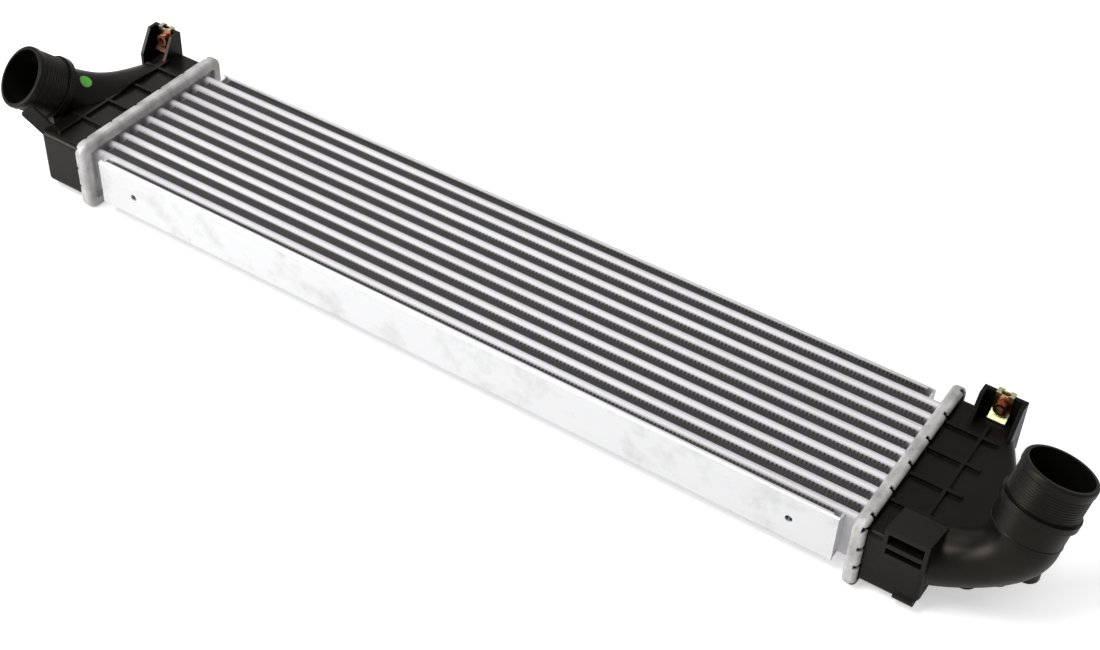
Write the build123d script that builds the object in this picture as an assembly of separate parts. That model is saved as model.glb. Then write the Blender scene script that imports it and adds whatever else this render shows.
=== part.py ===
from build123d import *
import os
from math import cos, radians, sin, sqrt

# Charge air cooler for a car: a flat tube-and-fin core between two moulded air tanks.
# Millimetres. X runs along the core, Y across its tubes, Z through its depth.
# The origin is the centre of the core. Everything that stands at an end of the core
# is built at the +X end and mirrored for the -X end.

# Core
tube_count = 10
tube_pitch = 14.0
tube_thickness = 6.3
tube_depth = 40.0
tube_wall = 0.8
tube_end_past_plate = 1.0
core_length = 668.0
fin_wave = 12.0
fin_sheet = 0.5
fin_depth = 36.0
fin_end_gap = 3.0
inner_fin_wave = 6.4
inner_fin_sheet = 0.4

# Side plates: folded channels that close the two long sides of the core
side_sheet = 1.5
side_lip = 2.3
side_lip_clearance = 1.0
side_bend = 2.5
side_end_gap = 10.5
side_lip_end_gap = 5.0
side_hole_radius = 2.8
side_hole_from_end = 34.0

# Headers: pressed trays that take the tubes and are crimped round the tank feet
header_side_rim = 11.25
header_face_rim = 11.0
header_corner = 9.0
header_sheet = 1.6
header_outer_round = 3.0
trough_inside = 5.6
plate_recess = 4.0
tube_slot_clearance = 0.05
tab_reach = 5.0
tab_notch = 3.6
tab_notch_depth = 1.4
long_notch_count = 6
long_notch_shift = 2.7
short_notch_count = 4
short_notch_from_edge = 4.9
gasket_thickness = 1.6
seat_clearance = 0.25

# Tanks: the box over the header
foot_height = 4.8
tongue_height = 3.0
tank_side_step = 6.25
tank_face_step = 6.5
tank_drop = 1.2
tank_reach = 52.0
tank_corner = 5.0
tank_end_round = 4.0
tank_wall = 3.0
rib_thickness = 2.6
rib_height = 2.6
rib_pitch = 29.0
rib_count = 4
cross_rib_from_end = 16.0
cross_rib_front = -70.0
cross_rib_back = 58.0

# Stubs for the hoses
stub_bore_radius = 22.5
stub_wall = 2.2
bead_height = 1.0
bead_length = 5.0
bead_round = 1.6
collar_height = 2.4
collar_length = 5.0

# A spot on a tank is its distance past the end of the box, its share of the tank's half
# width and its height. A station of a duct is a spot, a radius, and a rise and turn.

# Right tank: a duct leaves the front of the box and turns up into its stub
right_duct = (
    ((-20, -0.69, 1), 22.0, 4, 3),
    ((2, -0.67, 5.7), 20.3, 12, 6),
    ((21, -0.63, 13.3), 19.2, 28, 14),
    ((40, -0.53, 28), 22.5, 52, 38),
)
right_mouth = (51.3, -0.236, 88.0)
right_stub_rise = 69.2
right_stub_turn = 64.9
right_stub_straight = 21.0
right_neck = 18.0
shoulder_outline = ((-18, -0.72), (32, -0.54), (32, -0.2), (25, 0.12), (14, 0.5), (0.5, 0.87), (-18, 0.87))
shoulder_bottom = -5.0
shoulder_round = 8.0
shoulder_corner = 9.0

# Right tank, below: its slanted heel, the peg along its lower front edge, and round pads
# under its duct, each a spot at the middle of the pad's bottom
heel_leg = 8.0
peg_radius = 5.0
peg_start = 17.0
peg_end = 2.8
peg_proud = 1.8
peg_low = 0.8
duct_pads = ((18.4, -0.59, -13.0), (34.9, -0.44, -10.0), (52.8, -0.45, 6.0))
duct_pad_radius = 8.5
duct_pad_height = 18.0

# Left tank: a duct grows along the back of the box and leaves over its front corner
left_duct = (
    ((-15, 0.93, 0), 23.0, 0, -90),
    ((-12, 0.51, 1), 25.5, 4, -87),
    ((-6, 0.16, 4), 26.5, 12, -78),
    ((5, -0.13, 12), 24.3, 28, -70),
)
left_mouth = (30.3, -0.8, 54.2)
left_stub_rise = 40.5
left_stub_turn = -67.7
left_stub_straight = 23.7
left_neck = 1.0
left_neck_slimmer = 3.4
left_foot_slimmer = 0.7

# Ears: pockets for the spring nuts, behind the top of each tank
ear_wall = 3.0
ear_height = 19.9
ear_depth_low = 22.0
ear_depth_high = 10.0
ear_notch_radius = 4.5
ear_notch_depth = 12.0
right_ear_from_end = 14.5
right_ear_slot = 26.0
left_ear_from_end = 1.5
left_ear_slot = 21.0

# Spring nuts
nut_sheet = 1.2
nut_width = 13.0
nut_front_leg = 15.0
nut_flare_reach = 8.0
nut_flare_drop = 4.0
nut_back_leg = 5.0
nut_barrel_radius = 5.0
nut_barrel_length = 5.0
nut_thread_radius = 2.6
nut_below_top = 9.0
nut_clearance = 0.2
nut_cut_radius = 3.6

# Bracket socket on the right tank, its heights from the top of the box
socket_width = 31.0
socket_from_end = 15.5
socket_depth = 32.0
socket_front_height = 12.2
socket_back_height = 3.2
socket_low = -13.3
socket_proud = 2.5
pocket_width = 25.0
pocket_high = (-0.8, 7.7)
pocket_high_depth = 12.0
pocket_low = (-9.8, -4.8)
pocket_low_depth = 7.0

# Flanged web under the left stub, rooted in the front corner of the box
web_thickness = 3.0
web_gap = 3.0
web_start = 5.0
web_end = 50.0
web_root = (-8.0, -0.89, 14.0)
web_flange_width = 14.0

# Places that follow from the sizes above
fin_height = tube_pitch - tube_thickness
row_half = (tube_count - 1) / 2
side_inner_face = (row_half + 1) * tube_pitch - tube_thickness / 2
header_face = core_length / 2
header_width = tube_count * tube_pitch + 2 * header_side_rim
header_height = tube_depth + 2 * header_face_rim
short_notch_pitch = (header_height - 2 * short_notch_from_edge) / (short_notch_count - 1)
tank_width = header_width - 2 * tank_side_step
tank_height = header_height - 2 * tank_face_step
plate_face = header_face + plate_recess
plate_back = plate_face + header_sheet
trough_floor = header_face + header_sheet
foot_bottom = trough_floor + gasket_thickness
tongue_top = foot_bottom + tongue_height
foot_top = foot_bottom + foot_height
tank_end = header_face + tank_reach
body_top = tank_height / 2 - tank_drop
body_bottom = -tank_height / 2 - tank_drop
body_back = tank_width / 2
ear_top = body_top + ear_height
rib_top = body_top + rib_height
rib_bottom = body_bottom - rib_height
rib_row = tank_end - cross_rib_from_end
stub_radius = stub_bore_radius + stub_wall
bead_radius = stub_radius + bead_height
collar_radius = stub_radius + collar_height


def slab(width, height, corner, start, end):
    """Rounded rectangular block across the core between two places along it."""
    face = Plane.YZ.offset(start) * RectangleRounded(width, height, corner)
    return extrude(face, end - start)


def zigzag(count, wave, height, sheet):
    """Closed outline of a folded sheet that runs along local x and fills the height."""
    step = wave / 2
    start = -count * step
    low = -height / 2
    high = height / 2 - sheet
    folds = [(start + i * step, high if i % 2 else low) for i in range(2 * count + 1)]
    back = [(x, y + sheet) for x, y in reversed(folds)]
    return make_face(Polyline(*folds, *back, close=True))


def row_places(count, pitch):
    """Places of an evenly spaced row centred on zero."""
    return [(i - (count - 1) / 2) * pitch for i in range(count)]


def tube():
    half = plate_back + tube_end_past_plate
    outer = Plane.YZ.offset(-half) * SlotOverall(tube_depth, tube_thickness, rotation=90)
    inner_size = tube_thickness - 2 * tube_wall
    inner = Plane.YZ.offset(-half) * SlotOverall(tube_depth - 2 * tube_wall, inner_size, rotation=90)
    return extrude(outer - inner, 2 * half)


def inner_fin():
    half = plate_back + tube_end_past_plate
    height = tube_thickness - 2 * tube_wall
    count = int((tube_depth - tube_thickness) // inner_fin_wave)
    start = Plane(origin=(-half, 0, 0), x_dir=(0, 0, 1), z_dir=(1, 0, 0))
    return extrude(start * zigzag(count, inner_fin_wave, height, inner_fin_sheet), 2 * half)


def fin(half_length):
    count = int(2 * half_length // fin_wave)
    start = Plane.XY.offset(-fin_depth / 2)
    return extrude(start * zigzag(count, fin_wave, fin_height, fin_sheet), fin_depth)


def side_plate():
    """Channel on the -Y side: web outside, lips folded in over the outer fin."""
    half = header_face - side_end_gap
    outer_half_depth = fin_depth / 2 + side_lip_clearance + side_sheet
    web_outside = -side_inner_face - side_sheet
    depth = 2 * outer_half_depth
    width = side_sheet + side_lip
    centre = web_outside + width / 2
    block = extrude(Plane.YZ.offset(-half) * Pos(centre, 0) * Rectangle(width, depth), 2 * half)
    corners = block.edges().filter_by(Axis.X).group_by(Axis.Y)[0]
    block = fillet(corners, side_bend)
    room_width = width - side_sheet
    room_depth = depth - 2 * side_sheet
    room_centre = web_outside + side_sheet + room_width / 2
    room_face = Plane.YZ.offset(-half) * Pos(room_centre, 0) * Rectangle(room_width, room_depth)
    room = extrude(room_face, 2 * half)
    room = fillet(room.edges().filter_by(Axis.X).group_by(Axis.Y)[0], side_bend - side_sheet)
    channel = block - room
    for end in (-1, 1):
        cut_x = end * (half - side_lip_end_gap / 2)
        cut_y = web_outside + side_bend + side_lip / 2
        channel -= Pos(cut_x, cut_y, 0) * Box(side_lip_end_gap, side_lip, depth)
        hole_x = end * (half - side_hole_from_end)
        hole = Cylinder(side_hole_radius, 4 * side_sheet, rotation=(90, 0, 0))
        channel -= Pos(hole_x, web_outside, 0) * hole
        fold_width = fin_height
        fold_x = end * (half - side_sheet / 2)
        fold_y = -side_inner_face + fold_width / 2
        channel += Pos(fold_x, fold_y, 0) * Box(side_sheet, fold_width, fin_depth)
    return channel


def header():
    """Tray with a trough all round it and tabs that fold in over the foot of the tank."""
    tab_end = foot_top + header_sheet
    tray = slab(header_width, header_height, header_corner, header_face, tab_end)
    rims = tray.edges().group_by(Axis.X)
    tray = fillet(rims[0] + rims[-1], header_outer_round)

    wall_inset = 2 * header_sheet
    trough_inset = wall_inset + 2 * trough_inside
    inner_inset = trough_inset + 2 * header_sheet
    outer = (header_width - wall_inset, header_height - wall_inset, header_corner - header_sheet)
    island_corner = header_corner - header_sheet - trough_inside
    island = (header_width - trough_inset, header_height - trough_inset, island_corner)
    inner_corner = island_corner / 2
    inner = (header_width - inner_inset, header_height - inner_inset, inner_corner)

    tray -= slab(*outer, trough_floor, foot_top) - slab(*island, trough_floor, foot_top)
    tray -= slab(*inner, header_face, plate_face)
    tray -= slab(*island, plate_back, foot_top)
    mouth = (header_width - 2 * tab_reach, header_height - 2 * tab_reach, header_corner - tab_reach)
    tray -= slab(*mouth, foot_top, tab_end)

    notch_start = foot_top - tab_notch_depth
    notch_length = tab_end - notch_start
    notch_x = notch_start + notch_length / 2
    for y in row_places(long_notch_count, 2 * tube_pitch):
        notch = Box(notch_length, tab_notch, header_height + tab_reach)
        tray -= Pos(notch_x, y + long_notch_shift, 0) * notch
    for z in row_places(short_notch_count, short_notch_pitch):
        tray -= Pos(notch_x, 0, z) * Box(notch_length, header_width + tab_reach, tab_notch)

    grow = 2 * tube_slot_clearance
    slot = SlotOverall(tube_depth + grow, tube_thickness + grow, rotation=90)
    for y in row_places(tube_count, tube_pitch):
        tray -= extrude(Plane.YZ.offset(plate_face) * Pos(y, 0) * slot, header_sheet)
    return tray


def seat_outer():
    """Width, height and corner of what sits inside the header's outer wall."""
    inset = 2 * (header_sheet + seat_clearance)
    return header_width - inset, header_height - inset, header_corner - inset / 2


def seat_inner():
    """Width, height and corner of the hole that clears the header's inner wall."""
    inset = 2 * (header_sheet + trough_inside - seat_clearance)
    return header_width - inset, header_height - inset, header_corner - inset / 2


def gasket():
    return slab(*seat_outer(), trough_floor, foot_bottom) - slab(*seat_inner(), trough_floor, foot_bottom)


def direction(rise, turn):
    """Unit vector from its angle above the core's plane and its turn from +X."""
    flat = cos(radians(rise))
    return Vector(flat * cos(radians(turn)), flat * sin(radians(turn)), sin(radians(rise)))


def spot(distance, share, height):
    return Vector(tank_end + distance, share * body_back, height)


def duct(stations, end, along, end_radius, wall):
    """Smooth duct through its stations to its end ring, the given wall inside its skin."""
    rings = []
    for place, radius, rise, turn in stations:
        rings.append(Plane(origin=spot(*place), z_dir=direction(rise, turn)) * Circle(radius - wall))
    rings.append(Plane(origin=end, z_dir=along) * Circle(end_radius - wall))
    return loft(rings)


def stub(mouth, along, straight, foot, foot_radius):
    """Hose stub with a bead at its mouth and a stop collar, down to its foot in the duct."""
    collar_start = bead_length + straight
    collar_end = collar_start + collar_length
    points = [
        (0, 0),
        (bead_radius, 0),
        (bead_radius, -bead_length),
        (stub_radius, -bead_length - bead_height),
        (stub_radius, -collar_start),
        (collar_radius, -collar_start),
        (collar_radius, -collar_end),
        (foot_radius, -collar_end),
        (foot_radius, -foot),
        (0, -foot),
    ]
    profile = make_face(Plane.XZ * Polyline(*points, close=True))
    body = revolve(profile, Axis.Z)
    lip = body.edges().group_by(Axis.Z)[-1]
    body = fillet(lip, bead_round)
    return Plane(origin=mouth, z_dir=along).location * body


def stub_bore(mouth, along, foot):
    bore = Pos(0, 0, -foot / 2) * Cylinder(stub_bore_radius, foot)
    return Plane(origin=mouth, z_dir=along).location * bore


def tank_box():
    """Foot and box of a tank, without its cavity."""
    tongue = slab(*seat_outer(), foot_bottom, tongue_top) - slab(*seat_inner(), foot_bottom, tongue_top)
    flange = slab(*seat_outer(), tongue_top, foot_top)
    box = slab(tank_width, tank_height, tank_corner, foot_top, tank_end)
    box = fillet(box.edges().group_by(Axis.X)[-1], tank_end_round)
    return tongue + flange + Pos(0, 0, -tank_drop) * box


def tank_cavity():
    width = tank_width - 2 * tank_wall
    height = tank_height - 2 * tank_wall
    cavity = slab(width, height, tank_corner - tank_wall, tongue_top, tank_end - tank_wall)
    return Pos(0, 0, -tank_drop) * cavity


def ribs():
    """Ribs on the two broad faces of the box: hoops along X, and one row across them."""
    height = rib_top - rib_bottom
    middle = (rib_top + rib_bottom) / 2
    hoop_start = foot_top + header_sheet + seat_clearance
    hoop_length = tank_end - tank_end_round - hoop_start
    hoop = Pos(hoop_start + hoop_length / 2, 0, middle) * Box(hoop_length, rib_thickness, height)
    hoops = [Pos(0, y, 0) * hoop for y in row_places(rib_count, rib_pitch)]
    row_middle = (cross_rib_front + cross_rib_back) / 2
    row = Pos(rib_row, row_middle, middle) * Box(rib_thickness, cross_rib_back - cross_rib_front, height)
    return Compound(hoops) + row


def ear(centre, slot):
    """Pocket behind the top of the tank: two side walls and a notched back wall."""
    side_points = [
        (body_back, 0),
        (body_back, ear_top),
        (body_back - ear_depth_high, ear_top),
        (body_back - ear_depth_low, body_top),
        (body_back - ear_depth_low, 0),
    ]
    side = extrude(Plane.YZ * make_face(Polyline(*side_points, close=True)), ear_wall)
    left = Pos(centre - slot / 2 - ear_wall, 0, 0) * side
    right = Pos(centre + slot / 2, 0, 0) * side
    back = Pos(centre, body_back - ear_wall / 2, ear_top / 2) * Box(slot, ear_wall, ear_top)
    notch_low = ear_top - ear_notch_depth
    notch_box = Box(2 * ear_notch_radius, 2 * ear_wall, 2 * ear_notch_depth)
    notch_end = Cylinder(ear_notch_radius, 2 * ear_wall, rotation=(90, 0, 0))
    back -= Pos(centre, body_back, ear_top) * notch_box
    back -= Pos(centre, body_back, notch_low) * notch_end
    return left + right + back


def spring_nut(centre):
    """Strip folded over the ear's back wall, with a threaded barrel on its front leg."""
    front = body_back - ear_wall - nut_clearance
    back = body_back + nut_clearance
    top = ear_top + nut_clearance
    outline = [
        (front - nut_flare_reach, top - nut_front_leg - nut_flare_drop),
        (front - nut_flare_reach, top - nut_front_leg - nut_flare_drop + nut_sheet),
        (front - nut_sheet, top - nut_front_leg + nut_sheet),
        (front - nut_sheet, top + nut_sheet),
        (back + nut_sheet, top + nut_sheet),
        (back + nut_sheet, top - nut_back_leg),
        (back, top - nut_back_leg),
        (back, top),
        (front, top),
        (front, top - nut_front_leg),
    ]
    strip = extrude(Plane.YZ * make_face(Polyline(*outline, close=True)), nut_width)
    strip = Pos(centre - nut_width / 2, 0, 0) * strip
    axis_height = top - nut_below_top
    barrel_y = front - nut_sheet - nut_barrel_length / 2
    barrel = Cylinder(nut_barrel_radius, nut_barrel_length, rotation=(90, 0, 0))
    strip += Pos(centre, barrel_y, axis_height) * barrel
    thread_length = nut_barrel_length + nut_sheet
    thread = Cylinder(nut_thread_radius, thread_length, rotation=(90, 0, 0))
    strip -= Pos(centre, front - thread_length / 2, axis_height) * thread
    cut = Cylinder(nut_cut_radius, nut_sheet + nut_clearance)
    wall_middle = body_back - ear_wall / 2
    strip -= Pos(centre, wall_middle, top + nut_sheet / 2) * cut
    return strip


def bracket_socket():
    """Wedge on the front top of the right tank with two pockets for a bracket's tongues."""
    front = -body_back - socket_proud
    outline = [
        (front, socket_low),
        (front, socket_front_height),
        (front + socket_depth, socket_back_height),
        (front + socket_depth, socket_low),
    ]
    start = tank_end - socket_from_end - socket_width / 2
    wedge = extrude(Plane.YZ * make_face(Polyline(*outline, close=True)), socket_width)
    return Pos(start, 0, body_top) * wedge


def socket_pockets():
    front = -body_back - socket_proud
    pockets = []
    for (low, high), depth in ((pocket_high, pocket_high_depth), (pocket_low, pocket_low_depth)):
        pocket = Box(pocket_width, 2 * depth, high - low)
        middle = body_top + (low + high) / 2
        pockets.append(Pos(tank_end - socket_from_end, front, middle) * pocket)
    return Compound(pockets)


def shoulder(wall):
    """Flat-topped filling between the box and the duct, the given wall inside its skin."""
    corners = [spot(*corner, 0) for corner in shoulder_outline]
    face = make_face(Polyline(*corners, close=True))
    face = fillet(face.vertices(), shoulder_corner)
    if wall:
        face = offset(face, -wall)
    bottom = shoulder_bottom + wall
    height = body_top - wall - bottom
    block = extrude(Plane.XY.offset(bottom) * face, height)
    rims = block.edges().group_by(Axis.Z)
    return fillet(rims[0] + rims[-1], shoulder_round - wall)


def heel(wall):
    """Wedge that leaves the lower edge of the box's end slanted, the given wall inside it."""
    leg = heel_leg + rib_height + wall * sqrt(2)
    points = [
        (tank_end, rib_bottom),
        (tank_end - leg, rib_bottom),
        (tank_end, rib_bottom + leg),
    ]
    face = Plane.XZ.offset(-tank_width) * make_face(Polyline(*points, close=True))
    return extrude(face, 2 * tank_width)


def corner_peg():
    """Round peg along the lower front edge of the box."""
    length = peg_start - peg_end
    peg = Cylinder(peg_radius, length, rotation=(0, 90, 0))
    y = peg_radius - peg_proud - body_back
    return Pos(tank_end - peg_end - length / 2, y, body_bottom - peg_low + peg_radius) * peg


def pads():
    """Round pads on the underside of the right duct."""
    pad = Pos(0, 0, duct_pad_height / 2) * Cylinder(duct_pad_radius, duct_pad_height)
    return Compound([Pos(*spot(*place)) * pad for place in duct_pads])


def panel(wall):
    """Room over the box up to its cross rib, reaching the given wall below the box's top."""
    end = rib_row - rib_thickness / 2 + wall
    room = Box(end - foot_top, tank_width, tank_height)
    return Pos((foot_top + end) / 2, 0, body_top - wall + tank_height / 2) * room


def stub_web(mouth, along):
    """Web below the left stub, in the plane of its axis and its root. Its flange clears the hose."""
    root = spot(*web_root) - mouth
    drop = root - along * root.dot(along)
    plane = Plane(origin=mouth, x_dir=-along, z_dir=(-along).cross(drop))
    near = (web_start, stub_radius + web_gap + web_thickness)
    far = (-root.dot(along), drop.length)
    foot = bead_length + left_stub_straight
    seat = (foot, stub_radius + web_gap)
    web = make_face(Polyline((foot, 0), seat, far, (web_end, stub_radius), (web_end, 0), close=True))
    edge = [near, far, (far[0], far[1] - web_thickness), (near[0], near[1] - web_thickness)]
    flange = make_face(Polyline(*edge, close=True))
    solid = extrude(plane * web, web_thickness / 2, both=True)
    return solid + extrude(plane * flange, web_flange_width / 2, both=True)


def right_tank():
    along = direction(right_stub_rise, right_stub_turn)
    mouth = spot(*right_mouth)
    foot = bead_length + right_stub_straight + collar_length + right_neck
    end = mouth - along * foot
    solid = tank_box() + ribs() - heel(0) + corner_peg() + shoulder(0)
    solid += duct(right_duct, end, along, stub_radius, 0)
    solid += pads()
    solid += stub(mouth, along, right_stub_straight, foot, stub_radius)
    solid += ear(tank_end - right_ear_from_end, right_ear_slot)
    solid -= tank_cavity() - heel(tank_wall)
    solid -= shoulder(tank_wall)
    solid += bracket_socket()
    solid -= duct(right_duct, end, along, stub_radius, stub_wall)
    solid -= stub_bore(mouth, along, foot)
    return solid - socket_pockets()


def left_tank():
    along = direction(left_stub_rise, left_stub_turn)
    mouth = spot(*left_mouth)
    foot = bead_length + left_stub_straight + collar_length + left_neck
    end = mouth - along * foot
    end_radius = stub_radius - left_neck_slimmer
    solid = tank_box() + ribs() + stub_web(mouth, along)
    solid += duct(left_duct, end, along, end_radius, 0) - panel(0)
    solid += stub(mouth, along, left_stub_straight, foot, stub_radius - left_foot_slimmer)
    solid += ear(tank_end - left_ear_from_end, left_ear_slot)
    solid -= tank_cavity()
    solid -= duct(left_duct, end, along, end_radius, stub_wall) - panel(tank_wall)
    solid -= stub_bore(mouth, along, foot)
    return mirror(solid, about=Plane.YZ)


def save(node, shape):
    export_step(shape, f"parts/{node}.step")


os.makedirs("parts", exist_ok=True)

for number, y in enumerate(row_places(tube_count, tube_pitch), 1):
    save(f"tube_{number:02d}", Pos(0, y, 0) * tube())
    save(f"turbulator_{number:02d}", Pos(0, y, 0) * inner_fin())

long_fin = header_face - fin_end_gap
short_fin = header_face - side_end_gap - side_sheet - fin_end_gap
for number, y in enumerate(row_places(tube_count + 1, tube_pitch), 1):
    outermost = number in (1, tube_count + 1)
    save(f"fin_{number:02d}", Pos(0, y, 0) * fin(short_fin if outermost else long_fin))

front_plate = side_plate()
save("side_plate_front", front_plate)
save("side_plate_rear", mirror(front_plate, about=Plane.XZ))

for node, shape in (("header", header()), ("gasket", gasket())):
    save(f"{node}_right", shape)
    save(f"{node}_left", mirror(shape, about=Plane.YZ))

save("tank_right", right_tank())
save("tank_left", left_tank())
save("spring_nut_right", spring_nut(tank_end - right_ear_from_end))
save("spring_nut_left", mirror(spring_nut(tank_end - left_ear_from_end), about=Plane.YZ))
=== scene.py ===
"""Charge air cooler: finishes and fine detail of its core, headers, tanks and nuts."""

import logging
import math
from dataclasses import dataclass
from enum import Enum
from typing import Any, Callable

import bmesh
import bpy
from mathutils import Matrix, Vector


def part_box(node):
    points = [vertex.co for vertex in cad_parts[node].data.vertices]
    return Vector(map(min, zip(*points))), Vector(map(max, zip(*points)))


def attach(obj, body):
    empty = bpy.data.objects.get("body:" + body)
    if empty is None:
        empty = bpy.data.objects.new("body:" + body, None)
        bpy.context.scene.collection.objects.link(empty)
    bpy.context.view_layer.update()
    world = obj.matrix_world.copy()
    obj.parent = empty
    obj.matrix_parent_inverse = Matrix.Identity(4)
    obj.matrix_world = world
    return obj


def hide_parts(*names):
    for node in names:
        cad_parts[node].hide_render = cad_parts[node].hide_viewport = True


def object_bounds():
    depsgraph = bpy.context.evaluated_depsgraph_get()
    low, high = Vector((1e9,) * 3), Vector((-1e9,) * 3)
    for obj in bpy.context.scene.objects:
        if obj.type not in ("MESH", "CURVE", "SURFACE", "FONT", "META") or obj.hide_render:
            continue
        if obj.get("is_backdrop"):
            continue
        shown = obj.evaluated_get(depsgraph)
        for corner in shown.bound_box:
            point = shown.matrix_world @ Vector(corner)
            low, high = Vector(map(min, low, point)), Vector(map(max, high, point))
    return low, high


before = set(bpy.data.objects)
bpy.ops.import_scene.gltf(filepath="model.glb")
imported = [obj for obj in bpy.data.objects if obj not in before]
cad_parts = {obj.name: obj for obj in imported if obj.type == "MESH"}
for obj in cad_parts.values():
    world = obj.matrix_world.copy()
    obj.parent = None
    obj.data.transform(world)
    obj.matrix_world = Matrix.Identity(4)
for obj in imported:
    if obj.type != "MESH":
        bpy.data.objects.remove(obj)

MM = 0.001
SHARP_ANGLE = math.radians(40)
# At scale 1 the wave texture has 20 / (2 pi) bands in a metre.
WAVE_BANDS = 3.18
LOG = logging.getLogger("charge_air_cooler")
NodeTree = bpy.types.NodeTree
Material = bpy.types.Material
Piece = bpy.types.Object
Place = tuple[float, float, float]


class Hand(Enum):
    """Which end of the core a piece belongs to, with the sign of its X."""

    LEFT = -1.0
    RIGHT = 1.0


def linear(code: str) -> tuple[float, float, float, float]:
    """Turns an sRGB hex colour to the linear values that shaders take.

    Args:
        code: The colour as "#rrggbb".

    Returns:
        Red, green, blue and an alpha of one.
    """
    shares = [int(code[i : i + 2], 16) / 255 for i in (1, 3, 5)]
    values = [s / 12.92 if s <= 0.04045 else ((s + 0.055) / 1.055) ** 2.4 for s in shares]
    return values[0], values[1], values[2], 1.0


def per_metre(size_mm: float) -> float:
    """Returns the texture scale whose features have about this size in millimetres."""
    return 1.0 / (size_mm * MM)


def add_node(
    tree: NodeTree,
    kind: str,
    values: dict[str, Any] | None = None,
    links: dict[str, Any] | None = None,
    **settings: Any,
) -> bpy.types.Node:
    """Adds a shader node with its settings, socket values and incoming links.

    Args:
        tree: The node tree that takes it.
        kind: The node's type name without its ShaderNode prefix.
        values: Socket names or places with their values.
        links: Socket names or places with the output sockets that feed them.
        **settings: Properties of the node itself.

    Returns:
        The new node.
    """
    node = tree.nodes.new("ShaderNode" + kind)
    for name, value in settings.items():
        setattr(node, name, value)
    for socket, value in (values or {}).items():
        node.inputs[socket].default_value = value
    for socket, source in (links or {}).items():
        tree.links.new(source, node.inputs[socket])
    return node


def new_material(name: str) -> tuple[Material, NodeTree]:
    """Makes an empty node material.

    Args:
        name: The finish's plain name.

    Returns:
        The material and its cleared node tree.
    """
    material = bpy.data.materials.new(name)
    material.use_nodes = True
    material.node_tree.nodes.clear()
    return material, material.node_tree


def clear_selection() -> None:
    """Goes back to object mode with nothing selected."""
    if bpy.context.mode != "OBJECT":
        bpy.ops.object.mode_set(mode="OBJECT")
    bpy.ops.object.select_all(action="DESELECT")


def take(piece: Piece) -> None:
    """Makes one object the only selected and active one.

    Args:
        piece: The object.
    """
    clear_selection()
    piece.select_set(True)
    bpy.context.view_layer.objects.active = piece


def choose(piece: Piece, wanted: Callable[[Vector], bool]) -> None:
    """Selects vertices of a mesh in edit mode by their place.

    Args:
        piece: The object in edit mode.
        wanted: Takes a vertex's place and says whether it is wanted.
    """
    bpy.ops.mesh.select_mode(type="VERT")
    bpy.ops.mesh.select_all(action="DESELECT")
    mesh = bmesh.from_edit_mesh(piece.data)
    for vertex in mesh.verts:
        vertex.select_set(wanted(vertex.co))
    mesh.select_flush_mode()
    bmesh.update_edit_mesh(piece.data)


def finish_with(piece: Piece, kind: str, **settings: Any) -> None:
    """Adds a modifier to the active object and applies it.

    Args:
        piece: The object, which is active.
        kind: The modifier's type.
        **settings: The modifier's properties.
    """
    modifier = piece.modifiers.new(kind.title(), kind)
    for name, value in settings.items():
        setattr(modifier, name, value)
    bpy.ops.object.modifier_apply(modifier=modifier.name)


def settle(piece: Piece) -> None:
    """Puts an object's place, turn and size into its mesh."""
    take(piece)
    bpy.ops.object.transform_apply(location=True, rotation=True, scale=True)


def outward(piece: Piece) -> None:
    """Merges doubled vertices of a closed piece and turns its faces outwards.

    Args:
        piece: The object.
    """
    take(piece)
    bpy.ops.object.mode_set(mode="EDIT")
    bpy.ops.mesh.select_all(action="SELECT")
    bpy.ops.mesh.remove_doubles(threshold=0.002 * MM)
    bpy.ops.mesh.normals_make_consistent(inside=False)
    bpy.ops.object.mode_set(mode="OBJECT")


def deliver(piece: Piece, name: str, finish: Material) -> None:
    """Names and dresses a new piece and lets it ride on the cooler.

    Args:
        piece: The finished object.
        name: Its plain name.
        finish: Its material.
    """
    piece.name = name
    piece.data.name = name
    piece.data.materials.clear()
    piece.data.materials.append(finish)
    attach(piece, "root")
    LOG.info("%s: %d faces", name, len(piece.data.polygons))


def dress(node: str, finish: Material) -> None:
    """Gives a carried-over CAD node its finish.

    Args:
        node: The node's name.
        finish: The material for all of its faces.
    """
    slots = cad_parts[node].material_slots
    for slot in slots:
        slot.link = "OBJECT"
        slot.material = finish
    LOG.info("%s: dressed in %s", node, finish.name)


@dataclass(frozen=True)
class Stub:
    """Hose stub of a tank: the centre of its mouth and its direction in degrees."""

    hand: Hand
    mouth_mm: Place
    rise: float
    turn: float
    radius_mm: float = 24.7

    def axis(self) -> Vector:
        """Gives the unit direction out of the mouth.

        Returns:
            The direction, raised above the core's plane and turned towards its back.
        """
        flat = math.cos(math.radians(self.rise))
        side = math.radians(self.turn)
        rise = math.sin(math.radians(self.rise))
        return Vector((self.hand.value * flat * math.cos(side), flat * math.sin(side), rise))

    def stand(self, ring: Piece, below_mm: float) -> None:
        """Stands a ring round the stub.

        Args:
            ring: The ring, flat on the origin.
            below_mm: How far below the mouth its centre goes.
        """
        axis = self.axis()
        ring.rotation_euler = axis.to_track_quat("Z", "Y").to_euler()
        ring.location = Vector(self.mouth_mm) * MM - axis * below_mm * MM
        settle(ring)


LEFT_STUB = Stub(Hand.LEFT, (-416.3, -60.0, 54.2), rise=40.5, turn=-67.7)
RIGHT_STUB = Stub(Hand.RIGHT, (437.3, -17.7, 88.0), rise=69.2, turn=64.9)


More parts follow.
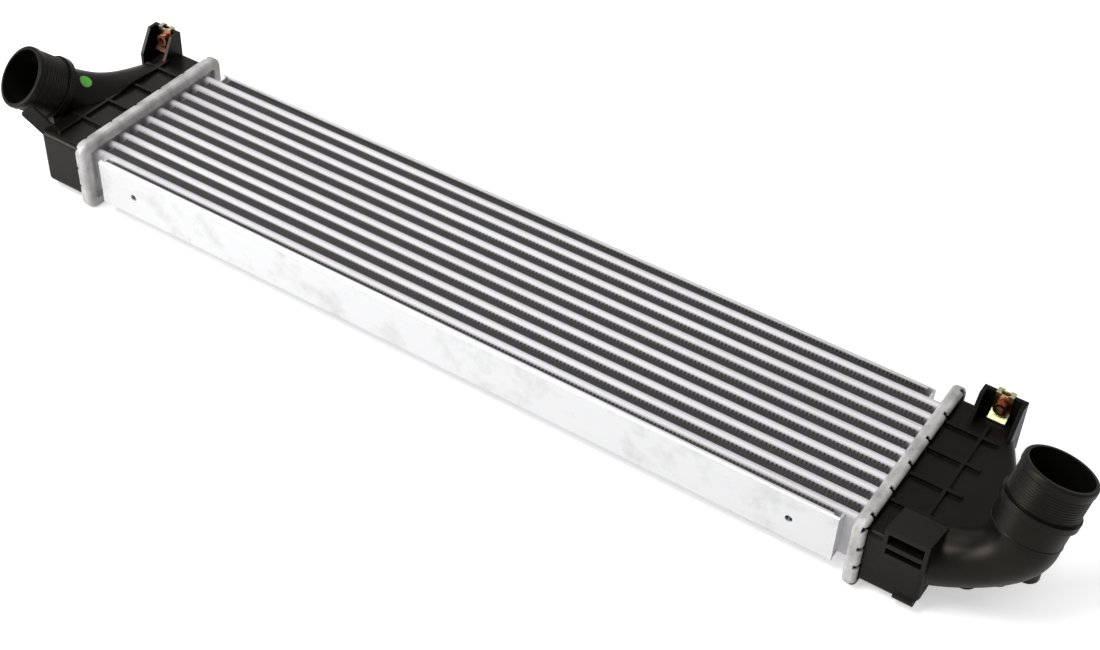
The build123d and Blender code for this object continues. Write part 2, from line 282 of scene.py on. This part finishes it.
@dataclass(frozen=True)
class FurnaceAluminium:
    """Aluminium brazed in a furnace: pale and dull, with cloudy flux bloom and fine grain."""

    name: str
    bare: str = "#cccacd"
    bloom: str = "#dddbdf"
    stain: str = "#b7b3ae"
    roughness: float = 0.55
    metallic: float = 0.25
    cloud_mm: float = 22.0
    spot_share: float = 0.28
    streak: float = 1.0
    # The real grain is about 0.2 mm: it is drawn as coarse as it needs to show.
    grain_mm: float = 0.9
    grain_depth_mm: float = 0.03
    edge_mm: float = 0.35

    def material(self) -> Material:
        """Builds the node material.

        Returns:
            Clouds of bloom over bare metal, small stains, and a fine grain in relief.
        """
        material, tree = new_material(self.name)
        place = add_node(tree, "TexCoord")
        drawn = add_node(
            tree, "Mapping", {"Scale": (self.streak, 1.0, 1.0)}, {"Vector": place.outputs["Object"]}
        )
        cloud = add_node(
            tree,
            "TexNoise",
            {"Scale": per_metre(self.cloud_mm), "Detail": 6.0, "Roughness": 0.62},
            {"Vector": drawn.outputs["Vector"]},
        )
        share = add_node(tree, "ValToRGB", links={"Fac": cloud.outputs["Fac"]})
        share.color_ramp.elements[0].position = 0.36
        share.color_ramp.elements[1].position = 0.66
        share.color_ramp.elements[0].color = linear(self.bare)
        share.color_ramp.elements[1].color = linear(self.bloom)
        spot = add_node(
            tree,
            "TexNoise",
            {"Scale": per_metre(self.cloud_mm * self.spot_share), "Detail": 4.0, "Roughness": 0.7},
            {"Vector": drawn.outputs["Vector"]},
        )
        spots = add_node(
            tree,
            "MapRange",
            {"From Min": 0.6, "From Max": 0.78, "To Min": 0.0, "To Max": 0.55},
            {"Value": spot.outputs["Fac"]},
        )
        colour = add_node(
            tree,
            "Mix",
            {7: linear(self.stain)},
            {"Factor": spots.outputs["Result"], 6: share.outputs["Color"]},
            data_type="RGBA",
        )
        dull = add_node(
            tree,
            "MapRange",
            {
                "From Min": 0.3,
                "From Max": 0.7,
                "To Min": self.roughness - 0.07,
                "To Max": self.roughness + 0.12,
            },
            {"Value": cloud.outputs["Fac"]},
        )
        grain = add_node(
            tree,
            "TexNoise",
            {"Scale": per_metre(self.grain_mm), "Detail": 3.0},
            {"Vector": drawn.outputs["Vector"]},
        )
        rounded = add_node(tree, "Bevel", {"Radius": self.edge_mm * MM}, samples=4)
        relief = add_node(
            tree,
            "Bump",
            {"Strength": 0.5, "Distance": self.grain_depth_mm * MM},
            {"Height": grain.outputs["Fac"], "Normal": rounded.outputs["Normal"]},
        )
        surface = add_node(
            tree,
            "BsdfPrincipled",
            {"Metallic": self.metallic},
            {
                "Base Color": colour.outputs[2],
                "Roughness": dull.outputs["Result"],
                "Normal": relief.outputs["Normal"],
            },
        )
        add_node(tree, "OutputMaterial", links={"Surface": surface.outputs["BSDF"]})
        return material


@dataclass(frozen=True)
class RolledSheet:
    """Rolled aluminium sheet: bright and smooth, with long faint roll lines and a few scuffs."""

    name: str = "rolled_aluminium_sheet"
    bare: str = "#e9e9ea"
    worn: str = "#c4c4c2"
    roughness: float = 0.4
    metallic: float = 0.62
    # Real roll lines lie about 0.2 mm apart: these are drawn as coarse as they need to show.
    roll_line_mm: float = 1.6
    roll_line_depth_mm: float = 0.02
    drawn_out: float = 0.012
    scuff_mm: float = 34.0
    edge_mm: float = 0.4

    def material(self) -> Material:
        """Builds the node material.

        Returns:
            Roll lines stretched along the plate, and worn patches where hands and jigs touched it.
        """
        material, tree = new_material(self.name)
        place = add_node(tree, "TexCoord")
        along = add_node(
            tree,
            "Mapping",
            {"Scale": (self.drawn_out, 1.0, 1.0)},
            {"Vector": place.outputs["Object"]},
        )
        lines = add_node(
            tree,
            "TexNoise",
            {"Scale": per_metre(self.roll_line_mm), "Detail": 5.0, "Roughness": 0.7},
            {"Vector": along.outputs["Vector"]},
        )
        scuff = add_node(
            tree,
            "TexNoise",
            {"Scale": per_metre(self.scuff_mm), "Detail": 8.0, "Roughness": 0.66},
            {"Vector": place.outputs["Object"]},
        )
        patch = add_node(
            tree,
            "MapRange",
            {"From Min": 0.5, "From Max": 0.74, "To Min": 0.0, "To Max": 0.75},
            {"Value": scuff.outputs["Fac"]},
        )
        colour = add_node(
            tree,
            "Mix",
            {6: linear(self.bare), 7: linear(self.worn)},
            {"Factor": patch.outputs["Result"]},
            data_type="RGBA",
        )
        dull = add_node(
            tree,
            "MapRange",
            {
                "From Min": 0.3,
                "From Max": 0.7,
                "To Min": self.roughness - 0.08,
                "To Max": self.roughness + 0.1,
            },
            {"Value": lines.outputs["Fac"]},
        )
        rounded = add_node(tree, "Bevel", {"Radius": self.edge_mm * MM}, samples=4)
        relief = add_node(
            tree,
            "Bump",
            {"Strength": 0.35, "Distance": self.roll_line_depth_mm * MM},
            {"Height": lines.outputs["Fac"], "Normal": rounded.outputs["Normal"]},
        )
        surface = add_node(
            tree,
            "BsdfPrincipled",
            {"Metallic": self.metallic},
            {
                "Base Color": colour.outputs[2],
                "Roughness": dull.outputs["Result"],
                "Normal": relief.outputs["Normal"],
            },
        )
        add_node(tree, "OutputMaterial", links={"Surface": surface.outputs["BSDF"]})
        return material


@dataclass(frozen=True)
class LouvredFoil:
    """Thin fin foil, cut louvre by louvre: dull grey faces that turn dark between the tubes, with
    painted shade striped across each louvre.
    """

    name: str = "louvred_aluminium_foil"
    face: str = "#9c9c99"
    shade: str = "#6a6a67"
    sheared: str = "#8e8e8b"
    louvre_mm: float = 1.4
    louvre_depth_mm: float = 0.25
    upward: float = 0.8
    roughness: float = 0.55
    metallic: float = 0.2

    def material(self) -> Material:
        """Builds the node material.

        Returns:
            Louvre stripes across the depth of the core, in relief and in painted light and shade,
            and plain edges.
        """
        material, tree = new_material(self.name)
        place = add_node(tree, "TexCoord")
        # One band of the wave is one louvre.
        stripes = add_node(
            tree,
            "TexWave",
            {"Scale": per_metre(self.louvre_mm) / WAVE_BANDS, "Distortion": 0.0, "Detail": 0.0},
            {"Vector": place.outputs["Object"]},
            wave_type="BANDS",
            bands_direction="Z",
            wave_profile="SAW",
        )
        # Each louvre is painted from the shade tone up to the lit face tone: painted light and
        # shade on its tilt.
        louvre_light_and_shade = add_node(
            tree,
            "Mix",
            {6: linear(self.shade), 7: linear(self.face)},
            {"Factor": stripes.outputs["Fac"]},
            data_type="RGBA",
        )
        # The sheared edges of the foil are the only faces that look straight up or down.
        facing = add_node(tree, "SeparateXYZ", links={"Vector": place.outputs["Normal"]})
        upright = add_node(
            tree, "Math", links={"Value": facing.outputs["Z"]}, operation="ABSOLUTE"
        )
        edge = add_node(
            tree, "Math", {1: self.upward}, {0: upright.outputs["Value"]}, operation="GREATER_THAN"
        )
        colour = add_node(
            tree,
            "Mix",
            {7: linear(self.sheared)},
            {"Factor": edge.outputs["Value"], 6: louvre_light_and_shade.outputs[2]},
            data_type="RGBA",
        )
        relief = add_node(
            tree,
            "Bump",
            {"Strength": 0.9, "Distance": self.louvre_depth_mm * MM},
            {"Height": stripes.outputs["Fac"]},
        )
        surface = add_node(
            tree,
            "BsdfPrincipled",
            {"Metallic": self.metallic, "Roughness": self.roughness},
            {"Base Color": colour.outputs[2], "Normal": relief.outputs["Normal"]},
        )
        add_node(tree, "OutputMaterial", links={"Surface": surface.outputs["BSDF"]})
        return material


@dataclass(frozen=True)
class GlassFilledNylon:
    """Black moulded nylon with glass fibre: near black, satin, with faint flow clouds."""

    name: str = "glass_filled_nylon"
    deep: str = "#090908"
    bloom: str = "#141311"
    scuffed: str = "#3a3733"
    gloss: str = "#fff4e6"
    roughness: float = 0.29
    specular: float = 0.2
    flow_mm: float = 45.0
    scuff_mm: float = 7.0
    # The real moulded grain is about 0.1 mm: it is drawn as coarse as it needs to show.
    grain_mm: float = 0.7
    grain_depth_mm: float = 0.03
    edge_mm: float = 0.6

    def material(self) -> Material:
        """Builds the node material.

        Returns:
            Slow flow clouds, pale scuffs on a few spots, and a fine moulded grain.
        """
        material, tree = new_material(self.name)
        place = add_node(tree, "TexCoord")
        flow = add_node(
            tree,
            "TexNoise",
            {"Scale": per_metre(self.flow_mm), "Detail": 5.0, "Roughness": 0.6, "Distortion": 0.6},
            {"Vector": place.outputs["Object"]},
        )
        base = add_node(tree, "ValToRGB", links={"Fac": flow.outputs["Fac"]})
        base.color_ramp.elements[0].position = 0.35
        base.color_ramp.elements[1].position = 0.7
        base.color_ramp.elements[0].color = linear(self.deep)
        base.color_ramp.elements[1].color = linear(self.bloom)
        scuff = add_node(
            tree,
            "TexNoise",
            {"Scale": per_metre(self.scuff_mm), "Detail": 8.0, "Roughness": 0.75},
            {"Vector": place.outputs["Object"]},
        )
        marks = add_node(
            tree,
            "MapRange",
            {"From Min": 0.66, "From Max": 0.8, "To Min": 0.0, "To Max": 0.5},
            {"Value": scuff.outputs["Fac"]},
        )
        colour = add_node(
            tree,
            "Mix",
            {7: linear(self.scuffed)},
            {"Factor": marks.outputs["Result"], 6: base.outputs["Color"]},
            data_type="RGBA",
        )
        satin = add_node(
            tree,
            "MapRange",
            {
                "From Min": 0.3,
                "From Max": 0.7,
                "To Min": self.roughness - 0.06,
                "To Max": self.roughness + 0.12,
            },
            {"Value": flow.outputs["Fac"]},
        )
        grain = add_node(
            tree,
            "TexNoise",
            {"Scale": per_metre(self.grain_mm), "Detail": 2.0},
            {"Vector": place.outputs["Object"]},
        )
        rounded = add_node(tree, "Bevel", {"Radius": self.edge_mm * MM}, samples=4)
        relief = add_node(
            tree,
            "Bump",
            {"Strength": 0.35, "Distance": self.grain_depth_mm * MM},
            {"Height": grain.outputs["Fac"], "Normal": rounded.outputs["Normal"]},
        )
        surface = add_node(
            tree,
            "BsdfPrincipled",
            {"Specular IOR Level": self.specular, "Specular Tint": linear(self.gloss)},
            {
                "Base Color": colour.outputs[2],
                "Roughness": satin.outputs["Result"],
                "Normal": relief.outputs["Normal"],
            },
        )
        add_node(tree, "OutputMaterial", links={"Surface": surface.outputs["BSDF"]})
        return material


@dataclass(frozen=True)
class YellowZinc:
    """Yellow passivated zinc on steel strip: red and brown up its middle, pale at the folds, where
    a painted highlight stands in for the folds catching the light.
    """

    name: str = "yellow_zinc_plated_steel"
    # By default the lower and upper tones are pale plating with a painted highlight on the folds.
    foot_tone_and_highlight: str = "#dfe0b0"
    pale: str = "#dfe0b0"
    gold: str = "#857644"
    red: str = "#8f3d38"
    roughness: float = 0.3
    foot_mm: float = 25.0
    top_mm: float = 44.0
    patch_mm: float = 6.0
    edge_mm: float = 0.25

    def material(self) -> Material:
        """Builds the node material.

        Returns:
            The plating's colours along the strip's height, broken up by slow patches.
        """
        material, tree = new_material(self.name)
        place = add_node(tree, "TexCoord")
        patch = add_node(
            tree,
            "TexNoise",
            {"Scale": per_metre(self.patch_mm), "Detail": 2.0},
            {"Vector": place.outputs["Object"]},
        )
        height = add_node(tree, "SeparateXYZ", links={"Vector": place.outputs["Object"]})
        along = add_node(
            tree,
            "MapRange",
            {"From Min": self.foot_mm * MM, "From Max": self.top_mm * MM},
            {"Value": height.outputs["Z"]},
        )
        uneven = add_node(
            tree,
            "Math",
            {1: 0.5, 2: -0.25},
            {0: patch.outputs["Fac"]},
            operation="MULTIPLY_ADD",
        )
        level = add_node(
            tree,
            "Math",
            links={0: along.outputs["Result"], 1: uneven.outputs["Value"]},
            operation="ADD",
        )
        # The ramp's pale ends, at the lower and upper folds, are partly plating tone and partly
        # painted highlight.
        colour = add_node(tree, "ValToRGB", links={"Fac": level.outputs["Value"]})
        ramp = colour.color_ramp
        ramp.elements[0].position = 0.2
        ramp.elements[1].position = 0.95
        ramp.elements[0].color = linear(self.foot_tone_and_highlight)
        ramp.elements[1].color = linear(self.pale)
        bands = ((0.32, self.gold), (0.45, self.red), (0.6, self.gold), (0.74, self.red))
        for position, tone in bands:
            ramp.elements.new(position).color = linear(tone)
        rounded = add_node(tree, "Bevel", {"Radius": self.edge_mm * MM}, samples=4)
        surface = add_node(
            tree,
            "BsdfPrincipled",
            {"Metallic": 1.0, "Roughness": self.roughness},
            {"Base Color": colour.outputs["Color"], "Normal": rounded.outputs["Normal"]},
        )
        add_node(tree, "OutputMaterial", links={"Surface": surface.outputs["BSDF"]})
        return material


@dataclass(frozen=True)
class PlainStock:
    """Moulded rubber or coloured paper: dull and even, with a light mottle."""

    name: str
    tone: str
    mottle: str
    roughness: float
    mottle_mm: float = 2.0

    def material(self) -> Material:
        """Builds the node material.

        Returns:
            A base tone with a light mottle.
        """
        material, tree = new_material(self.name)
        place = add_node(tree, "TexCoord")
        noise = add_node(
            tree,
            "TexNoise",
            {"Scale": per_metre(self.mottle_mm), "Detail": 3.0},
            {"Vector": place.outputs["Object"]},
        )
        colour = add_node(
            tree,
            "Mix",
            {6: linear(self.tone), 7: linear(self.mottle)},
            {"Factor": noise.outputs["Fac"]},
            data_type="RGBA",
        )
        surface = add_node(
            tree,
            "BsdfPrincipled",
            {"Roughness": self.roughness},
            {"Base Color": colour.outputs[2]},
        )
        add_node(tree, "OutputMaterial", links={"Surface": surface.outputs["BSDF"]})
        return material


@dataclass(frozen=True)
class Lamp:
    """Square soft lamp that faces the cooler: its place and edge in metres, its power in watts."""

    name: str
    place: Place
    size: float
    power: float

    def hang(self) -> None:
        """Hangs the lamp."""
        clear_selection()
        turn = (-Vector(self.place)).to_track_quat("-Z", "Y").to_euler()
        bpy.ops.object.light_add(type="AREA", location=self.place, rotation=turn)
        lamp = bpy.context.object
        lamp.name = self.name
        lamp.data.size = self.size
        lamp.data.energy = self.power


@dataclass
class Studio:
    """White table, soft lamps and the camera."""

    camera_place: Place = (0.57546, -0.85345, 0.88942)
    camera_turn: Place = (48.0731, -2.1512, 33.4663)
    lens_mm: float = 59.604
    sensor_mm: float = 36.0
    nearest: float = 0.01
    lamps: tuple[Lamp, ...] = (
        Lamp("key", (-0.6, -1.0, 2.1), 0.9, 26.0),
        Lamp("side", (-3.0, -3.0, 1.07), 1.9, 95.0),
        Lamp("top", (-1.5, 0.7, 2.2), 2.0, 14.0),
    )
    world_strength: float = 0.46
    gloss_strength: float = 0.4
    floor_size: float = 12.0
    floor_tone: str = "#f6f6f6"
    floor_glow: float = 0.45

    def build(self) -> None:
        """Sets up camera, lamps, world and floor."""
        self._camera()
        for lamp in self.lamps:
            lamp.hang()
        self._world()
        self._floor()
        bpy.context.scene.view_settings.view_transform = "Standard"
        LOG.info("studio ready")

    def _camera(self) -> None:
        """Stands the camera where the photograph was taken from."""
        clear_selection()
        turn = tuple(math.radians(angle) for angle in self.camera_turn)
        bpy.ops.object.camera_add(location=self.camera_place, rotation=turn)
        camera = bpy.context.object
        camera.data.sensor_width = self.sensor_mm
        camera.data.lens = self.lens_mm
        camera.data.clip_start = self.nearest
        bpy.context.scene.camera = camera

    def _world(self) -> None:
        """Shows a white world to the camera and to gloss, and a dimmer one to the rest."""
        world = bpy.data.worlds.new("studio_world")
        world.use_nodes = True
        bpy.context.scene.world = world
        tree = world.node_tree
        tree.nodes.clear()
        path = add_node(tree, "LightPath")
        seen = add_node(
            tree,
            "Math",
            links={0: path.outputs["Is Camera Ray"], 1: path.outputs["Is Transmission Ray"]},
            operation="MAXIMUM",
        )
        gloss = add_node(
            tree,
            "Math",
            {1: self.gloss_strength},
            {0: path.outputs["Is Glossy Ray"]},
            operation="MULTIPLY",
        )
        level = add_node(
            tree,
            "Math",
            links={0: seen.outputs["Value"], 1: gloss.outputs["Value"]},
            operation="MAXIMUM",
        )
        strength = add_node(
            tree,
            "Math",
            {1: self.world_strength},
            {0: level.outputs["Value"]},
            operation="MAXIMUM",
        )
        sky = add_node(
            tree,
            "Background",
            {"Color": (1.0, 1.0, 1.0, 1.0)},
            {"Strength": strength.outputs["Value"]},
        )
        add_node(tree, "OutputWorld", links={"Surface": sky.outputs["Background"]})

    def _floor(self) -> None:
        """Lays a white table under the lowest edge of the headers."""
        clear_selection()
        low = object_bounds()[0][2]
        bpy.ops.mesh.primitive_plane_add(size=self.floor_size, location=(0.0, 0.0, low))
        floor = bpy.context.object
        floor.name = "table"
        settle(floor)
        material, tree = new_material("white_table")
        path = add_node(tree, "LightPath")
        glow = add_node(
            tree,
            "Math",
            {1: self.floor_glow},
            {0: path.outputs["Is Camera Ray"]},
            operation="MULTIPLY",
        )
        surface = add_node(
            tree,
            "BsdfPrincipled",
            {
                "Base Color": linear(self.floor_tone),
                "Roughness": 0.9,
                "Specular IOR Level": 0.0,
                "Emission Color": (1.0, 1.0, 1.0, 1.0),
            },
            {"Emission Strength": glow.outputs["Value"]},
        )
        add_node(tree, "OutputMaterial", links={"Surface": surface.outputs["BSDF"]})
        floor.data.materials.append(material)
        floor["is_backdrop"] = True


@dataclass
class FinPack:
    """Rows of folded cooling fins at their true wave, in place of the coarse CAD ones."""

    rows: int = 11
    wave_mm: float = 3.06
    # The real foil is half as thick: its edges are drawn as coarse as they need to show.
    foil_mm: float = 0.22
    crown_mm: float = 0.9
    bend_mm: float = 0.28
    finish: LouvredFoil = LouvredFoil()

    def build(self) -> None:
        """Folds one long and one short row and copies the long one between the tubes."""
        foil = self.finish.material()
        long_row = self._row("fin_02")
        for number in range(2, self.rows):
            row = long_row if number == self.rows - 1 else long_row.copy()
            if row is not long_row:
                row.data = long_row.data.copy()
                bpy.context.collection.objects.link(row)
            self._place(row, number, foil)
        for number in (1, self.rows):
            self._place(self._row("fin_01"), number, foil)

    def _row(self, node: str) -> Piece:
        """Folds a row of foil as long, high and deep as a CAD node, centred on zero across.

        Args:
            node: The CAD node whose room the row fills.

        Returns:
            The folded row.
        """
        low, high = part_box(node)
        size = high - low
        wave = self.wave_mm * MM
        count = int(size.x // wave)
        columns = 9
        clear_selection()
        bpy.ops.mesh.primitive_grid_add(
            x_subdivisions=columns,
            y_subdivisions=1,
            size=1.0,
            rotation=(math.radians(90), 0.0, 0.0),
        )
        row = bpy.context.object
        row.scale = (wave, size.z, 1.0)
        settle(row)
        crown = self.crown_mm * MM / 2
        bend = self.bend_mm * MM
        top = size.y / 2 - self.foil_mm * MM / 2
        half = wave / 2
        profile = [
            (-half, -top),
            (-half + crown, -top),
            (-half + crown + bend, -top + 2 * bend),
            (-crown - bend, top - 2 * bend),
            (-crown, top),
            (crown, top),
            (crown + bend, top - 2 * bend),
            (half - crown - bend, -top + 2 * bend),
            (half - crown, -top),
            (half, -top),
        ]
        # One flat wave is pulled into its fold column by column, from the last to the first.
        # A column that has not been moved yet still lies on zero.
        bpy.ops.object.mode_set(mode="EDIT")
        step = wave / columns
        for column in reversed(range(columns + 1)):
            start = -half + column * step
            x, y = profile[column]
            choose(row, lambda place: abs(place.x - start) < step * 0.05 and abs(place.y) < 1e-9)
            bpy.ops.transform.translate(value=(x - start, y, 0.0))
        bpy.ops.object.mode_set(mode="OBJECT")
        finish_with(
            row,
            "ARRAY",
            count=count,
            use_relative_offset=False,
            use_constant_offset=True,
            constant_offset_displace=(wave, 0.0, 0.0),
            use_merge_vertices=True,
            merge_threshold=0.01 * MM,
        )
        finish_with(row, "SOLIDIFY", thickness=self.foil_mm * MM, offset=0.0)
        row.location = (-(count - 1) * wave / 2, 0.0, 0.0)
        settle(row)
        return row

    def _place(self, row: Piece, number: int, foil: Material) -> None:
        """Moves a row between its tubes and delivers it.

        Args:
            row: The folded row, centred on zero.
            number: The number of the CAD node it stands for.
            foil: Its material.
        """
        node = f"fin_{number:02d}"
        low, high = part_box(node)
        row.location = (0.0, (low.y + high.y) / 2, (low.z + high.z) / 2)
        settle(row)
        deliver(row, f"folded_{node}", foil)
        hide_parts(node)


@dataclass
class HoseSeat:
    """Fine ridges moulded round a stub, between its bead and its stop collar."""

    stub: Stub
    first_mm: float
    last_mm: float
    count: int = 9
    ridge_mm: float = 0.42
    segments: int = 96

    def build(self, nylon: Material) -> None:
        """Shapes one ridge and repeats it along the stub, all in one piece.

        Args:
            nylon: The tank's material.
        """
        pitch = (self.last_mm - self.first_mm) / (self.count - 1)
        radius = self.stub.radius_mm * MM
        clear_selection()
        bpy.ops.mesh.primitive_torus_add(
            major_segments=self.segments,
            minor_segments=10,
            major_radius=radius,
            minor_radius=self.ridge_mm * MM,
        )
        ring = bpy.context.object
        bpy.ops.object.mode_set(mode="EDIT")
        # The inner half of the ring is flattened, so that it sits on the stub.
        choose(ring, lambda place: place.xy.length < radius * 0.9995)
        bpy.ops.transform.resize(value=(0.998, 0.998, 1.6))
        # Then the whole ridge is drawn out a little along the stub.
        bpy.ops.mesh.select_all(action="SELECT")
        bpy.ops.transform.resize(value=(1.0, 1.0, 1.25))
        bpy.ops.object.mode_set(mode="OBJECT")
        finish_with(
            ring,
            "ARRAY",
            count=self.count,
            use_relative_offset=False,
            use_constant_offset=True,
            constant_offset_displace=(0.0, 0.0, -pitch * MM),
        )
        self.stub.stand(ring, self.first_mm)
        bpy.ops.object.shade_smooth_by_angle(angle=SHARP_ANGLE)
        deliver(ring, f"hose_seat_{self.stub.hand.name.lower()}", nylon)


@dataclass
class NeckSeam:
    """Seam round the neck of the right stub, where two slides of the mould met."""

    stub: Stub = RIGHT_STUB
    below_mouth_mm: float = 47.5
    proud_mm: float = 0.5
    width_mm: float = 1.4
    wall_mm: float = 0.6
    segments: int = 96

    def build(self, nylon: Material) -> None:
        """Shapes the seam as a ring with a flat inside and a rounded outside.

        Args:
            nylon: The tank's material.
        """
        clear_selection()
        bpy.ops.mesh.primitive_cylinder_add(
            vertices=self.segments,
            radius=self.stub.radius_mm * MM,
            depth=self.width_mm * MM,
            end_fill_type="NOTHING",
        )
        ring = bpy.context.object
        bpy.ops.object.mode_set(mode="EDIT")
        bpy.ops.mesh.select_all(action="SELECT")
        bpy.ops.mesh.subdivide(number_cuts=1)
        choose(ring, lambda place: abs(place.z) < self.width_mm * MM / 4)
        swell = 1 + self.proud_mm / self.stub.radius_mm
        bpy.ops.transform.resize(value=(swell, swell, 1.0))
        bpy.ops.object.mode_set(mode="OBJECT")
        finish_with(ring, "SOLIDIFY", thickness=self.wall_mm * MM, offset=-1.0)
        self.stub.stand(ring, self.below_mouth_mm)
        outward(ring)
        bpy.ops.object.shade_smooth_by_angle(angle=SHARP_ANGLE)
        deliver(ring, "neck_seam", nylon)


@dataclass
class InspectionDot:
    """Plain green paper dot on the neck of the left tank."""

    place_mm: Place = (-387.0, -19.1, 40.0)
    facing: Place = (0.57, 0.19, 0.8)
    radius_mm: float = 5.3
    paper_mm: float = 0.15
    height_mm: float = 6.0
    gap_mm: float = 0.03

    def build(self) -> None:
        """Cuts the dot, lays it on the tank's skin and gives it its thickness."""
        paper = PlainStock("green_paper", "#4d9f3b", "#64b350", 0.5, 1.2).material()
        facing = Vector(self.facing).normalized()
        clear_selection()
        bpy.ops.mesh.primitive_circle_add(
            vertices=40,
            radius=self.radius_mm * MM,
            fill_type="NGON",
            location=Vector(self.place_mm) * MM + facing * self.height_mm * MM,
            rotation=facing.to_track_quat("Z", "Y").to_euler(),
        )
        dot = bpy.context.object
        bpy.ops.object.mode_set(mode="EDIT")
        bpy.ops.mesh.select_all(action="SELECT")
        # Rings inside the dot let it bend with the tank's skin.
        for _ in range(4):
            bpy.ops.mesh.inset(thickness=self.radius_mm * MM / 6)
        bpy.ops.object.mode_set(mode="OBJECT")
        finish_with(
            dot,
            "SHRINKWRAP",
            target=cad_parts["tank_left"],
            wrap_method="PROJECT",
            use_negative_direction=True,
            use_positive_direction=False,
            use_project_z=True,
            offset=self.gap_mm * MM,
        )
        finish_with(dot, "SOLIDIFY", thickness=self.paper_mm * MM, offset=1.0)
        settle(dot)
        outward(dot)
        bpy.ops.object.shade_smooth_by_angle(angle=SHARP_ANGLE)
        deliver(dot, "inspection_dot", paper)


@dataclass
class Cooler:
    """The whole cooler: the CAD nodes with their finishes, and the pieces added to them."""

    tubes: int = 10

    def build(self) -> None:
        """Dresses the CAD nodes and builds the fine pieces."""
        self._dress_core()
        FinPack().build()
        nylon = GlassFilledNylon().material()
        self._dress_ends(nylon)
        HoseSeat(RIGHT_STUB, first_mm=8.6, last_mm=24.2).build(nylon)
        HoseSeat(LEFT_STUB, first_mm=9.0, last_mm=26.8).build(nylon)
        NeckSeam().build(nylon)
        InspectionDot().build()

    def _dress_core(self) -> None:
        """Gives tubes, turbulators and side plates their metals."""
        tube = FurnaceAluminium("brazed_tube", streak=0.12).material()
        inner = FurnaceAluminium("brazed_turbulator", bare="#b9b8b8", bloom="#cfcecf").material()
        for number in range(1, self.tubes + 1):
            dress(f"tube_{number:02d}", tube)
            dress(f"turbulator_{number:02d}", inner)
        sheet = RolledSheet().material()
        dress("side_plate_front", sheet)
        dress("side_plate_rear", sheet)

    def _dress_ends(self, nylon: Material) -> None:
        """Gives headers, gaskets, tanks and nuts their finishes.

        Args:
            nylon: The tanks' material.
        """
        header = FurnaceAluminium(
            "brazed_header",
            bare="#a3a1a0",
            bloom="#cfcecd",
            stain="#868280",
            roughness=0.5,
            metallic=0.3,
            cloud_mm=14.0,
            edge_mm=0.8,
        ).material()
        rubber = PlainStock("moulded_rubber", "#161616", "#1f1f1f", 0.7).material()
        # The left nut's colours run redder and darker, down to its lower flare, and the painted
        # highlight at its upper fold is dimmer.
        redder = YellowZinc("red_zinc_plated_steel", foot_tone_and_highlight="#8c5b4a", pale="#c3b79c")
        for side, zinc in (("left", redder.material()), ("right", YellowZinc().material())):
            dress(f"header_{side}", header)
            dress(f"gasket_{side}", rubber)
            dress(f"tank_{side}", nylon)
            dress(f"spring_nut_{side}", zinc)


def main() -> None:
    """Builds the cooler and the studio."""
    logging.basicConfig(level=logging.INFO, format="%(name)s: %(message)s")
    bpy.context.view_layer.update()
    Cooler().build()
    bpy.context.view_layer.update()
    Studio().build()


if __name__ == "__main__":
    main()
